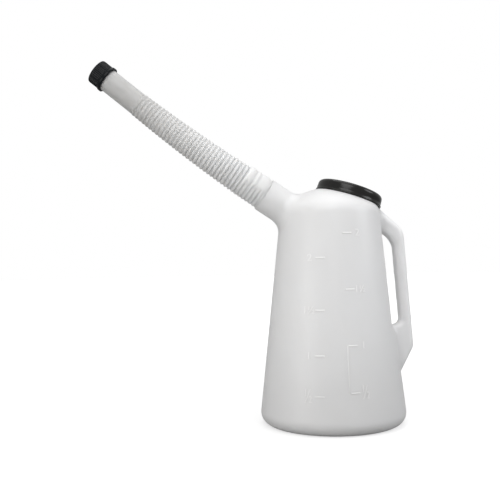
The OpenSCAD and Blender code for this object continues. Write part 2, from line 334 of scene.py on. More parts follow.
class Surface:
    """Builder of a material's nodes, with the effects that the finishes share."""

    groups: dict[str, Tree] = {}

    @staticmethod
    def node(tree: Tree, kind: str, inputs: dict[int | str, object], **settings: str) -> bpy.types.Node:
        """Add a node.

        Args:
            tree: Tree that gets the node.
            kind: Type of the node.
            inputs: Number or socket for each input.
            settings: The node's own settings.

        Returns:
            The node.
        """
        made = tree.nodes.new(kind)
        for name, value in settings.items():
            setattr(made, name, value)
        for label, value in inputs.items():
            if isinstance(value, Socket):
                tree.links.new(value, made.inputs[label])
            else:
                made.inputs[label].default_value = value
        return made

    @classmethod
    def math(cls, tree: Tree, operation: str, *values: object) -> Socket:
        """Result of a Math node on numbers or sockets."""
        return cls.node(tree, "ShaderNodeMath", dict(enumerate(values)), operation=operation).outputs[0]

    @classmethod
    def noise(cls, tree: Tree, where: Socket, scale: object, detail: float, rough: float) -> Socket:
        """Value of a Noise node, about 0 to 1."""
        inputs = {"Vector": where, "Scale": scale, "Detail": detail, "Roughness": rough}
        return cls.node(tree, "ShaderNodeTexNoise", inputs).outputs[0]

    @classmethod
    def ramp(cls, tree: Tree, value: Socket, reach: Point2, share: Point2 = (0.0, 1.0),
             kind: str = "SMOOTHSTEP") -> Socket:
        """Run a value up or down a ramp.

        Args:
            tree: Tree that gets the node.
            value: Value that is read.
            reach: Values at which the ramp starts and ends.
            share: Results at its start and end.
            kind: Shape of the ramp.

        Returns:
            The result.
        """
        inputs = {"Value": value, "From Min": reach[0], "From Max": reach[1],
                  "To Min": share[0], "To Max": share[1]}
        return cls.node(tree, "ShaderNodeMapRange", inputs, interpolation_type=kind).outputs["Result"]

    @classmethod
    def mixed(cls, tree: Tree, share: Socket, first: Socket, second: object,
              blend: str = "MIX") -> Socket:
        """Mix two colours.

        Args:
            tree: Tree that gets the node.
            share: Mask, 0 to 1.
            first: Colour where the mask is empty.
            second: Colour where it is full, or what the first is multiplied by.
            blend: How the two are mixed.

        Returns:
            The mixed colour.
        """
        inputs = {"Factor": share, "A": first, "B": second}
        mix = cls.node(tree, "ShaderNodeMix", inputs, data_type="RGBA", blend_type=blend)
        return mix.outputs["Result"]

    @classmethod
    def group(cls, name: str, inputs: dict[str, str], outputs: dict[str, str],
              fill: Callable[[Tree, dict[str, Socket]], dict[str, Socket]]) -> Tree:
        """Make a shader node group once.

        Args:
            name: Name of the group.
            inputs: Kind of each input, as in NodeSocketFloat.
            outputs: Kind of each output.
            fill: Function that adds the nodes and gives the outputs.

        Returns:
            The group.
        """
        if name not in cls.groups:
            tree = cls.groups[name] = bpy.data.node_groups.new(name, "ShaderNodeTree")
            for label, kind in inputs.items():
                tree.interface.new_socket(label, in_out="INPUT", socket_type="NodeSocket" + kind)
            for label, kind in outputs.items():
                tree.interface.new_socket(label, in_out="OUTPUT", socket_type="NodeSocket" + kind)
            given = tree.nodes.new("NodeGroupInput").outputs
            results = fill(tree, {label: given[label] for label in inputs})
            cls.node(tree, "NodeGroupOutput", results)
        return cls.groups[name]

    @classmethod
    def moulded_skin(cls) -> Tree:
        """Group for moulded plastic: cloudy colour, uneven gloss and a fine skin."""

        def fill(tree: Tree, given: dict[str, Socket]) -> dict[str, Socket]:
            where = given["Vector"]
            cloud = cls.noise(tree, where, given["Cloud Scale"], 3.0, 0.5)
            fine = cls.noise(tree, where, given["Skin Scale"], 4.0, 0.6)
            wave = cls.noise(tree, where, WAVE_SCALE, 1.0, 0.4)
            uneven = cls.math(tree, "SUBTRACT", fine, 0.5)
            swing = cls.math(tree, "MULTIPLY", uneven, given["Gloss Swing"])
            return {"Color": cls.mixed(tree, cloud, given["Color"], given["Cloud Color"]),
                    "Roughness": cls.math(tree, "ADD", given["Roughness"], swing),
                    "Height": cls.math(tree, "ADD", cls.math(tree, "MULTIPLY", fine, FINE_SHARE), wave)}

        inputs = {"Vector": "Vector", "Color": "Color", "Cloud Color": "Color", "Cloud Scale": "Float",
                  "Skin Scale": "Float", "Roughness": "Float", "Gloss Swing": "Float"}
        outputs = {"Color": "Color", "Roughness": "Float", "Height": "Float"}
        return cls.group("moulded_skin", inputs, outputs, fill)

    @classmethod
    def mould_seam(cls) -> Tree:
        """Group for the mould's parting line, a thin ridge in the plane Y = 0."""

        def fill(tree: Tree, given: dict[str, Socket]) -> dict[str, Socket]:
            split = cls.node(tree, "ShaderNodeSeparateXYZ", {0: given["Vector"]})
            aside = cls.math(tree, "ABSOLUTE", split.outputs["Y"])
            away = cls.math(tree, "DIVIDE", aside, given["Width"])
            inside = cls.math(tree, "MAXIMUM", cls.math(tree, "SUBTRACT", 1.0, away), 0.0)
            return {"Height": cls.math(tree, "SMOOTH_MIN", inside, 0.7, 0.3)}

        return cls.group("mould_seam", {"Vector": "Vector", "Width": "Float"}, {"Height": "Float"}, fill)


@dataclass(frozen=True)
class Plastic:
    """A moulded plastic.

    Skin depth and subsurface reach are in metres.
    """

    name: str
    colour: Colour
    cloud: Colour
    cloud_scale: float
    roughness: float
    gloss_swing: float
    skin_scale: float
    skin_depth: float
    subsurface: float = 0.0
    reach: Colour = (0.004, 0.0037, 0.0033)
    seam_depth: float = 0.0
    specular: float = 0.5
    # Colour factors for painted shade at the spout's far end, painted shade at the body's foot and
    # painted light on the handle; 1.0 paints none.
    far_painted_shade: float = 1.0
    foot_painted_shade: float = 1.0
    handle_painted_glow: float = 1.0

    def painted_light_and_shade(self, tree: Tree, where: Socket, colour: Socket) -> Socket:
        """Colour with painted shade at the far end and foot, and a painted glow on the thin-walled
        handle.

        Args:
            tree: Tree of the material.
            where: Object coordinates.
            colour: Colour before the change.

        Returns:
            The colour after the changes that this plastic has.
        """
        masks: list[tuple[Socket, float]] = []
        # Painted shade: the spout darkens towards its far end, by the share stored along it.
        if self.far_painted_shade < 1.0:
            along = Surface.node(tree, "ShaderNodeAttribute", {}, attribute_name=ALONG)
            masks.append((along.outputs["Fac"], self.far_painted_shade))
        # Painted light: the handle is lightened, a painted glow for light through its thin wall.
        if self.handle_painted_glow > 1.0:
            inputs = {0: where, 1: SIDE_PLANE}
            out = Surface.node(tree, "ShaderNodeVectorMath", inputs, operation="DOT_PRODUCT")
            masks.append((Surface.ramp(tree, out.outputs["Value"], HANDLE_PAINTED_GLOW_REACH), self.handle_painted_glow))
        # Painted shade: the body darkens towards its foot.
        if self.foot_painted_shade < 1.0:
            height = Surface.node(tree, "ShaderNodeSeparateXYZ", {0: where}).outputs["Z"]
            masks.append((Surface.ramp(tree, height, FOOT_PAINTED_SHADE_REACH, (1.0, 0.0)), self.foot_painted_shade))
        for mask, level in masks:
            colour = Surface.mixed(tree, mask, colour, (level, level, level, 1.0), "MULTIPLY")
        return colour

    def material(self) -> bpy.types.Material:
        """The material of this plastic, made on first use."""
        if self.name not in BUILT:
            BUILT[self.name] = self.build()
        return BUILT[self.name]

    def build(self) -> bpy.types.Material:
        """Make the material.

        Returns:
            Material with its nodes on Object coordinates.
        """
        material = bpy.data.materials.new(self.name)
        material.use_nodes = True
        tree = material.node_tree
        shader = tree.nodes["Principled BSDF"]
        where = tree.nodes.new("ShaderNodeTexCoord").outputs["Object"]
        skin = tree.nodes.new("ShaderNodeGroup")
        skin.node_tree = Surface.moulded_skin()
        tree.links.new(where, skin.inputs["Vector"])
        for label, value in (("Color", (*self.colour, 1.0)), ("Cloud Color", (*self.cloud, 1.0)),
                             ("Cloud Scale", self.cloud_scale), ("Skin Scale", self.skin_scale),
                             ("Roughness", self.roughness), ("Gloss Swing", self.gloss_swing)):
            skin.inputs[label].default_value = value
        tree.links.new(self.painted_light_and_shade(tree, where, skin.outputs["Color"]), shader.inputs["Base Color"])
        tree.links.new(skin.outputs["Roughness"], shader.inputs["Roughness"])
        inputs = {"Strength": 1.0, "Distance": self.skin_depth, "Height": skin.outputs["Height"]}
        normal = Surface.node(tree, "ShaderNodeBump", inputs).outputs["Normal"]
        if self.seam_depth > 0.0:
            seam = tree.nodes.new("ShaderNodeGroup")
            seam.node_tree = Surface.mould_seam()
            tree.links.new(where, seam.inputs["Vector"])
            seam.inputs["Width"].default_value = SEAM_WIDTH
            inputs = {"Distance": self.seam_depth, "Height": seam.outputs["Height"], "Normal": normal}
            normal = Surface.node(tree, "ShaderNodeBump", inputs).outputs["Normal"]
        tree.links.new(normal, shader.inputs["Normal"])
        shader.inputs["Specular IOR Level"].default_value = self.specular
        if self.subsurface > 0.0:
            shader.inputs["Subsurface Weight"].default_value = self.subsurface
            shader.inputs["Subsurface Radius"].default_value = self.reach
            shader.inputs["Subsurface Scale"].default_value = 1.0
        return material


# The body has painted shade at its foot and a painted glow on its handle.
MILKY_BODY = Plastic(
    "milky_body", colour=(0.80, 0.795, 0.795), cloud=(0.77, 0.765, 0.76), cloud_scale=9.0,
    roughness=0.42, gloss_swing=0.08, skin_scale=700.0, skin_depth=0.00015,
    subsurface=0.5, reach=(0.008, 0.0077, 0.0074), seam_depth=0.0002, foot_painted_shade=0.86, handle_painted_glow=1.16)
# The raised marks catch real light on their eased edges; their colour, lighter than the body's, is a
# painted highlight on top.
MILKY_MARKS_PAINTED_HIGHLIGHT = replace(
    MILKY_BODY, name="milky_marks_painted_highlight", colour=(0.86, 0.855, 0.855), cloud=(0.83, 0.825, 0.82),
    subsurface=0.0, seam_depth=0.0, handle_painted_glow=1.0)
# The spout gets painted shade towards its far end.
MILKY_SPOUT = Plastic(
    "milky_spout", colour=(0.77, 0.765, 0.755), cloud=(0.74, 0.735, 0.725), cloud_scale=14.0,
    roughness=0.44, gloss_swing=0.06, skin_scale=500.0, skin_depth=0.00004,
    subsurface=0.9, reach=(0.008, 0.0077, 0.0074), far_painted_shade=0.60, specular=0.3)
SATIN_BLACK = Plastic(
    "satin_black", colour=(0.010, 0.0097, 0.0092), cloud=(0.014, 0.0137, 0.013), cloud_scale=40.0,
    roughness=0.20, gloss_swing=0.06, skin_scale=1500.0, skin_depth=0.00002, specular=0.25)
RIBBED_BLACK = Plastic(
    "ribbed_black", colour=(0.004, 0.0052, 0.006), cloud=(0.006, 0.0074, 0.0085), cloud_scale=40.0,
    roughness=0.26, gloss_swing=0.06, skin_scale=1500.0, skin_depth=0.00002, specular=0.12)
FOAM_DISC = Plastic(
    "foam_disc", colour=(0.80, 0.80, 0.77), cloud=(0.72, 0.72, 0.69), cloud_scale=400.0,
    roughness=0.75, gloss_swing=0.1, skin_scale=2500.0, skin_depth=0.00008)


def dress(obj: bpy.types.Object, finish: Plastic, body: Optional[Body], slot: str,
          *replaced: str) -> bpy.types.Object:
    """Give a piece its finish, its body and the solids that it stands for.

    Args:
        obj: Piece.
        finish: Its plastic.
        body: Body that it moves with, or none for a piece that joins two and is attached to neither.
        slot: Material slot of the record; not used.
        replaced: Nodes that it replaces.

    Returns:
        The piece.
    """
    obj.data.materials.clear()
    obj.data.materials.append(finish.material())
    if body is not None:
        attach(obj, body.value)
    if replaced:
        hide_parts(*replaced)
    riding = body.value if body else "two bodies"
    LOG.info("%s: %d faces on %s", obj.name, len(obj.data.polygons), riding)
    return obj


@dataclass
class Sweep:
    """Carries an open ring of edges along straights and bends in the XZ plane.

    The heading is in degrees from straight up, towards +X.
    """

    bm: Mesh
    edges: list[bmesh.types.BMEdge]
    place: Vector
    heading: float

    def direction(self) -> Vector:
        """Unit vector of the heading."""
        angle = math.radians(self.heading)
        return Vector((math.sin(angle), 0.0, math.cos(angle)))

    def straight(self, length: float, steps: int, swell: float = 1.0) -> None:
        """Carry the ring straight on.

        Args:
            length: Length of the run.
            steps: Number of rings.
            swell: Size of the last ring against the first.
        """
        step = self.direction() * (length / steps)
        grow = swell ** (1.0 / steps)
        for _ in range(steps):
            made = bmesh.ops.extrude_edge_only(self.bm, edges=self.edges)["geom"]
            verts = verts_of(made)
            self.edges = edges_within(made)
            bmesh.ops.translate(self.bm, verts=verts, vec=step)
            self.place = self.place + step
            bmesh.ops.scale(self.bm, verts=verts, vec=(grow, grow, grow),
                            space=Matrix.Translation(-self.place))

    def bend(self, radius: float, angle: float, steps: int) -> None:
        """Carry the ring round a bend towards -X.

        Args:
            radius: Radius of the middle line.
            angle: Angle of the bend in degrees.
            steps: Number of rings.
        """
        ahead = self.direction()
        left = Vector((-ahead.z, 0.0, ahead.x))
        centre = self.place + left * radius
        result = bmesh.ops.spin(self.bm, geom=list(self.edges), cent=centre, axis=(0, -1, 0),
                                dvec=(0, 0, 0), angle=math.radians(angle), steps=steps,
                                use_merge=False, use_duplicate=False)
        self.edges = [g for g in result["geom_last"] if isinstance(g, bmesh.types.BMEdge)]
        self.place = centre + Matrix.Rotation(-math.radians(angle), 3, "Y") @ (self.place - centre)
        self.heading -= angle


@dataclass
class JugBody:
    """The blow-moulded body with its handle, neck and mouth."""

    diameter: float = 147.4
    taper: float = 6.5
    wall: float = 1.8
    base_round: float = 12.0
    foot_w: float = 5.0
    base_rise: float = 4.0
    dome_r: float = 70.0
    shoulder_round: float = 15.0
    recess_from: float = 30.0
    recess_blend: float = 1.6
    recess_x: float = 49.3
    recess_lean: float = 3.0
    recess_low: float = 97.0
    recess_high: float = 198.0
    recess_slope: float = 30.0
    neck_r: float = 17.0
    neck_len: float = 19.0
    flare_r: float = 20.0
    neck_root: float = 44.0
    neck_over: float = 3.0
    grip_t: float = 10.6
    grip_w: float = 18.0
    grip_top: Point2 = (70.8, 184.0)
    grip_foot: Point2 = (78.8, 75.6)
    heel_lean: float = 28.8
    heel_len: float = 33.0
    heel_r: float = 8.0
    arm_slope: float = 37.0
    arm_r: float = 15.5
    arm_len: float = 26.0
    arm_swell: float = 1.26
    brace_r: float = 28.0
    brace_drop: float = 13.0
    brace_turn: float = 96.0
    web_z: float = 91.5
    web_corner_r: float = 13.4
    web_slim: float = 0.8
    web_root: float = 10.0
    web_inset: float = 2.4
    mouth_r: float = 29.6
    mouth_h: float = 10.0
    lip_out: float = 1.6
    voxel: float = 1.8
    fill_rounds: int = 45
    steps: int = 180

    def side_r(self, z: float) -> float:
        """Radius of the tapering side at a height."""
        return self.diameter / 2 - math.tan(math.radians(self.taper)) * z

    def profile(self) -> list[Point2]:
        """Turned outline of the body, from the middle of the base to the top of the dome."""
        slope, lean = math.tan(math.radians(self.taper)), math.cos(math.radians(self.taper))
        dome_z = LAYOUT.dome_z
        base = (self.side_r(self.base_round) - self.base_round / lean, self.base_round)
        a = self.diameter / 2 - self.shoulder_round / lean
        b = a * slope + dome_z
        gap = a * a + dome_z ** 2 - (self.dome_r - self.shoulder_round) ** 2
        shoulder_z = (b + math.sqrt(b * b - (1 + slope ** 2) * gap)) / (1 + slope ** 2)
        shoulder = (a - slope * shoulder_z, shoulder_z)
        turn = math.degrees(math.atan2(shoulder_z - dome_z, shoulder[0]))
        foot = base[0] - self.foot_w
        low, high = self.side_r(self.base_round), self.side_r(shoulder_z)
        side = [(low + (high - low) * i / 40, self.base_round + (shoulder_z - self.base_round) * i / 40)
                for i in range(1, 40)]
        return ([(0.0, self.base_rise), (foot - 12, self.base_rise), (foot - 8, self.base_rise - 0.6),
                 (foot - 3, 0.8), (foot, 0.0)]
                + arc_points(base, self.base_round, -90, self.taper, 14) + side
                + arc_points(shoulder, self.shoulder_round, self.taper, turn, 12)
                + arc_points((0.0, dome_z), self.dome_r, turn, 90, 24)[1:])

    def recess_limit(self, z: float) -> float:
        """How far out the body may reach behind the grip at a height."""
        middle = (self.recess_high + self.recess_low) / 2
        lean = math.tan(math.radians(self.recess_lean))

        def flat(at: float) -> float:
            return self.recess_x - (at - middle) * lean

        floor = flat(self.recess_low) + (self.recess_low - z) / math.tan(math.radians(self.recess_slope))
        roof = flat(self.recess_high) + (z - self.recess_high)
        return max(flat(min(max(z, self.recess_low), self.recess_high)), floor, roof)

    def turned_body(self) -> Mesh:
        """The turned form with the flat behind the grip pressed into it."""
        bm = turned(self.profile(), self.steps)
        blend = self.recess_blend
        for vert in bm.verts:
            if vert.co.x > self.recess_from:
                over = vert.co.x - self.recess_limit(vert.co.z)
                if over > -blend:
                    vert.co.x -= over if over > blend else (over + blend) ** 2 / (4 * blend)
        return bm

    def neck(self) -> Mesh:
        """The neck, with the curve that runs it into the shoulder."""
        flare = [(self.neck_r + self.flare_r - math.sqrt(self.flare_r ** 2 - u * u), -self.neck_len - u)
                 for u in (19, 18, 16, 14, 11.5, 8.5, 5.5, 2.5, 0)]
        root, over = -self.neck_root, self.neck_over
        profile = [(0.0, root), (flare[0][0], root)] + flare + [(self.neck_r, over), (0.0, over)]
        bm = turned(profile, 96)
        bmesh.ops.transform(bm, matrix=LAYOUT.neck(), verts=bm.verts)
        return bm

    def section_ring(self, bm: Mesh, place: Vector, heading: float,
                     slim: float = 0.0) -> list[bmesh.types.BMEdge]:
        """Draw the grip's rounded section.

        Args:
            bm: Mesh that gets the ring.
            place: Centre of the section.
            heading: Direction of the run, in degrees from straight up.
            slim: How much thinner and narrower it is than the grip.

        Returns:
            Edges of the ring.
        """
        radius = (self.grip_t - slim) / 2
        ring = bmesh.ops.create_circle(bm, cap_ends=False, segments=36, radius=radius)["verts"]
        for vert in ring:
            vert.co.y += math.copysign((self.grip_w - self.grip_t) / 2, vert.co.y)
        turn = Matrix.Translation(place) @ Matrix.Rotation(math.radians(heading), 4, "Y")
        bmesh.ops.transform(bm, matrix=turn, verts=ring)
        return list({e for v in ring for e in v.link_edges})

    @property
    def grip_lean(self) -> float:
        """Lean of the grip towards the body, in degrees."""
        return math.degrees(math.atan2(self.grip_foot[0] - self.grip_top[0],
                                       self.grip_top[1] - self.grip_foot[1]))

    def on_grip(self, z: float) -> Vector:
        """Point at a height on the grip's middle line."""
        back = (z - self.grip_foot[1]) * math.tan(math.radians(self.grip_lean))
        return Vector((self.grip_foot[0] - back, 0.0, z))

    def heel_start(self) -> Vector:
        """Point inside the body from which the heel runs out to the foot of the grip."""
        angle = math.radians(self.heel_lean)
        ahead = Vector((math.sin(angle), 0, math.cos(angle)))
        return self.on_grip(self.grip_foot[1]) - self.heel_len * ahead

    def handle(self) -> Mesh:
        """The grip with its arm above and its lower edge, swept in one run."""
        bm = bmesh.new()
        foot, top = self.on_grip(self.grip_foot[1]), self.on_grip(self.grip_top[1])
        lean = self.grip_lean
        turn = lean + self.heel_lean
        cut = self.heel_r * math.tan(math.radians(turn / 2))
        start = self.heel_start()
        ring = self.section_ring(bm, start, self.heel_lean)
        run = Sweep(bm, ring, start, self.heel_lean)
        run.straight(self.heel_len - cut, 16)
        run.bend(self.heel_r, turn, 10)
        run.straight((foot - top).length - cut, 48)
        run.bend(self.arm_r, 90 - lean - self.arm_slope, 16)
        run.straight(self.arm_len, 14, self.arm_swell)
        return close_ends(bm)

    def brace(self) -> Mesh:
        """The slimmer brace that rounds the upper corner of the slot behind the grip."""
        bm = bmesh.new()
        start = self.on_grip(self.grip_top[1] - self.brace_drop)
        ring = self.section_ring(bm, start, -self.grip_lean, self.web_slim)
        Sweep(bm, ring, start, -self.grip_lean).bend(self.brace_r, self.brace_turn, 40)
        return close_ends(bm)

    def web(self) -> list[Mesh]:
        """The slimmer web that closes the handle's lower corner."""
        inner = Vector((self.side_r(self.web_z) - self.web_root, 0, self.web_z))
        outer = self.on_grip(self.web_z)
        tube = bmesh.new()
        run = Sweep(tube, self.section_ring(tube, inner, 90.0, self.web_slim), inner, 90.0)
        run.straight(outer.x - inner.x - self.web_corner_r, 12)
        run.bend(self.web_corner_r, 90.0 + self.grip_lean, 16)
        plate = bmesh.new()
        foot = self.on_grip(self.grip_foot[1]) - Vector((self.web_inset, 0, 0))
        half = Vector((0, self.grip_w / 2 - self.web_slim, 0))
        corners = (inner, outer, foot, self.heel_start())
        face = plate.faces.new([plate.verts.new(corner - half) for corner in corners])
        made = bmesh.ops.extrude_face_region(plate, geom=[face])["geom"]
        bmesh.ops.translate(plate, verts=verts_of(made), vec=2 * half)
        bmesh.ops.subdivide_edges(plate, edges=plate.edges, cuts=7, use_grid_fill=True)
        bmesh.ops.recalc_face_normals(plate, faces=plate.faces)
        return [close_ends(tube), plate]

    def fused_skin(self) -> bpy.types.Mesh:
        """Outer skin as one smooth sheet: the parts fused, fitted to their true surfaces and filleted."""
        source = joined([self.turned_body(), self.neck(), self.handle(), self.brace(), *self.web()])
        bmesh.ops.transform(source, matrix=Matrix.Scale(MM, 4), verts=source.verts)
        bmesh.ops.triangulate(source, faces=source.faces)
        tree = BVHTree.FromBMesh(source)
        rough = bpy.data.meshes.new("rough_skin")
        source.to_mesh(rough)
        source.free()
        block = bpy.data.objects.new("rough_skin", rough)
        bpy.context.scene.collection.objects.link(block)
        remesh = block.modifiers.new("fuse", "REMESH")
        remesh.mode = "VOXEL"
        remesh.voxel_size = self.voxel * MM
        mesh = baked(block)
        bpy.data.objects.remove(block)
        for vert in mesh.vertices:
            near = tree.find_nearest(vert.co)[0]
            if near is not None and (near - vert.co).length < self.voxel * MM:
                vert.co = near
        self.fill_creases(mesh)
        return mesh

    def fill_creases(self, mesh: bpy.types.Mesh) -> None:
        """Let the inside corners of a mesh grow into fillets.

        Args:
            mesh: Mesh in metres, changed in place.
        """
        count = len(mesh.vertices)
        place = np.empty(count * 3)
        normal = np.empty(count * 3)
        ends = np.empty(len(mesh.edges) * 2, dtype=np.int64)
        mesh.vertices.foreach_get("co", place)
        mesh.edges.foreach_get("vertices", ends)
        place, ends = place.reshape(-1, 3), ends.reshape(-1, 2)
        first = np.concatenate([ends[:, 0], ends[:, 1]])
        other = np.concatenate([ends[:, 1], ends[:, 0]])
        degree = np.bincount(first, minlength=count)[:, None]

        def around(values: np.ndarray) -> np.ndarray:
            sums = [np.bincount(first, weights=column[other], minlength=count) for column in values.T]
            return np.stack(sums, axis=1) / degree

        for _ in range(self.fill_rounds):
            mesh.vertices.foreach_get("normal", normal)
            pull = around(place) - place
            lift = np.sum(pull * normal.reshape(-1, 3), axis=1, keepdims=True)
            strength = np.clip((lift - 0.00001) / 0.00003, 0.0, 1.0)
            strength = np.maximum(strength, around(strength) * 0.9)
            place = place + 0.5 * strength * pull
            mesh.vertices.foreach_set("co", place.ravel())
            mesh.update()

    def ring_at(self, bm: Mesh, place: Matrix) -> list[bmesh.types.BMEdge]:
        """Open edges that lie in a frame's ground plane."""
        origin, axis = place.translation * MM, place.to_3x3() @ Vector((0, 0, 1))
        return [e for e in bm.edges if e.is_boundary
                and all(abs((v.co - origin).dot(axis)) < 1e-5 for v in e.verts)]

    def grow_rim(self, bm: Mesh, place: Matrix, rings: Sequence[Point2]) -> None:
        """Grow round rings from the cut edge round an opening.

        Args:
            bm: Skin in metres, cut in the frame's ground plane.
            place: Frame of the opening in millimetres.
            rings: Radius and height of each ring.
        """
        into, back = (Matrix.Scale(MM, 4) @ place).inverted(), Matrix.Scale(MM, 4) @ place
        edges = self.ring_at(bm, place)
        for radius, height in rings:
            made = bmesh.ops.extrude_edge_only(bm, edges=edges)["geom"]
            edges = edges_within(made)
            for vert in verts_of(made):
                local = into @ vert.co
                flat = Vector((local.x, local.y, 0.0)).normalized() * radius
                vert.co = back @ Vector((flat.x, flat.y, height))

    def build(self) -> bpy.types.Object:
        """Make the body: skin, openings, rims, then the wall's thickness.

        Returns:
            The body's object.
        """
        mesh = self.fused_skin()
        bm = bmesh.new()
        bm.from_mesh(mesh)
        mouth, neck = LAYOUT.mouth(), LAYOUT.neck()
        for place in (mouth, neck):
            bmesh.ops.bisect_plane(bm, geom=bm.verts[:] + bm.edges[:] + bm.faces[:], dist=1e-7,
                                   plane_co=place.translation * MM,
                                   plane_no=place.to_3x3() @ Vector((0, 0, 1)), clear_outer=True)
        bore, top, out = self.mouth_r, self.mouth_h, self.mouth_r + self.lip_out
        self.grow_rim(bm, mouth, [
            (bore + 1.2, 0.0), (bore + 0.35, 0.35), (bore, 1.2), (bore, 4.0), (bore, top - 3.2),
            (bore + 0.3, top - 2.8), (out - 0.4, top - 2.4), (out, top - 1.9), (out, top - 0.5),
            (out - 0.2, top - 0.15), (out - 0.5, top)])
        self.grow_rim(bm, neck, [(self.neck_r - inward, height)
                                 for inward, height in ((0.15, 0.12), (0.4, 0.22), (0.8, 0.26))])
        bmesh.ops.recalc_face_normals(bm, faces=bm.faces)
        shell = bpy.data.meshes.new("jug_shell")
        bm.to_mesh(shell)
        bm.free()
        obj = mesh_object(shell, "jug_shell")
        wall = obj.modifiers.new("wall", "SOLIDIFY")
        wall.thickness = self.wall * MM
        wall.offset = -1.0
        finished = baked(obj)
        obj.modifiers.clear()
        obj.data = finished
        finished.name = "jug_shell"
        finished.shade_smooth()
        finished.set_sharp_from_angle(angle=math.radians(42.0))
        return dress(obj, MILKY_BODY, Body.JUG, "translucent_body", "jug_body")


@dataclass
class ScaleMarks:
    """The raised marks and numbers on the side."""

    body: JugBody
    litre_turn: float = -114.6
    pint_turn: float = -87.0
    litre_heights: tuple[float, ...] = (37.6, 74.6, 116.6, 165.6)
    pint_heights: tuple[float, ...] = (40.7, 83.7, 135.7, 188.7)
    labels: tuple[str, ...] = ("½", "1", "1½", "2")
    length: float = 9.0
    height: float = 1.4
    out: float = 0.4
    text_size: float = 9.5
    fraction_size: float = 18.0
    fraction_slim: float = 0.60
    aside: float = 10.6
    sunk: float = 0.5
    easing: float = 0.38
    spine_w: float = 0.9
    spine_gap: float = 1.0

    def wrap(self, bm: Mesh, turn: float, z: float) -> None:
        """Lay a flat mesh on the tapering side.

        Args:
            bm: Mesh with X to the right, Y up and Z out of the wall.
            turn: Angle of the place round the jug, in degrees.
            z: Height of the place.
        """
        taper = math.radians(self.body.taper)
        for vert in bm.verts:
            right, up, out = vert.co
            height = z + up * math.cos(taper) + out * math.sin(taper)
            radius = self.body.side_r(z + up * math.cos(taper)) + out * math.cos(taper)
            angle = math.radians(turn) + right / self.body.side_r(z)
            vert.co = Vector((radius * math.cos(angle), radius * math.sin(angle), height))

    def bar(self, width: float, height: float) -> Mesh:
        """A raised bar with eased edges, lying in the XY plane."""
        bm = bmesh.new()
        cube = bmesh.ops.create_cube(bm, size=1.0)["verts"]
        deep = self.out + self.sunk
        bmesh.ops.scale(bm, verts=cube, vec=(width, height, deep))
        bmesh.ops.translate(bm, verts=cube, vec=(0, 0, deep / 2 - self.sunk))
        front = [e for e in bm.edges if all(v.co.z > 0 for v in e.verts)]
        bmesh.ops.bevel(bm, geom=front, offset=self.easing, affect="EDGES", segments=3, profile=0.5,
                        material=-1)
        long = [e for e in bm.edges if abs(e.verts[0].co.x - e.verts[1].co.x) > width * 0.5]
        bmesh.ops.subdivide_edges(bm, edges=long, cuts=8)
        return bm

    def number(self, text: str) -> Mesh:
        """A raised number, centred on its middle."""
        curve = bpy.data.curves.new("number", "FONT")
        curve.body = text
        curve.size = self.fraction_size if text.startswith("½") else self.text_size
        curve.align_x, curve.align_y = "CENTER", "CENTER"
        curve.extrude = (self.out + self.sunk) / 2
        curve.offset = 0.12
        curve.resolution_u = 5
        holder = bpy.data.objects.new("number", curve)
        bpy.context.scene.collection.objects.link(holder)
        mesh = baked(holder)
        bpy.data.objects.remove(holder)
        bm = bmesh.new()
        bm.from_mesh(mesh)
        bmesh.ops.remove_doubles(bm, verts=bm.verts, dist=1e-3)
        bmesh.ops.translate(bm, verts=bm.verts, vec=(0, 0, (self.out - self.sunk) / 2))
        if text.startswith("½"):
            bmesh.ops.scale(bm, verts=bm.verts, vec=(self.fraction_slim, 1.0, 1.0))
        bmesh.ops.recalc_face_normals(bm, faces=bm.faces)
        return bm

    def build(self) -> bpy.types.Object:
        """Make both scales as one piece.

        Returns:
            The marks' object.
        """
        parts: list[Mesh] = []
        scales = ((self.litre_turn, self.litre_heights, -self.aside),
                  (self.pint_turn, self.pint_heights, self.aside))
        for turn, heights, across in scales:
            for label, z in zip(self.labels, heights):
                mark = self.bar(self.length, self.height)
                self.wrap(mark, turn, z)
                number = self.number(label)
                bmesh.ops.translate(number, verts=number.verts, vec=(across, 0, 0))
                self.wrap(number, turn, z)
                parts += [mark, number]
        low, high = self.pint_heights[:2]
        spine = self.bar(self.spine_w, high - low)
        bmesh.ops.translate(spine, verts=spine.verts, vec=(-self.length / 2 - self.spine_gap, 0, 0))
        self.wrap(spine, self.pint_turn, (low + high) / 2)
        obj = to_object(joined(parts + [spine]), "scale_marks")
        # The marks' finish is lighter than the body's, a painted highlight.
        return dress(obj, MILKY_MARKS_PAINTED_HIGHLIGHT, Body.JUG, "translucent_body")


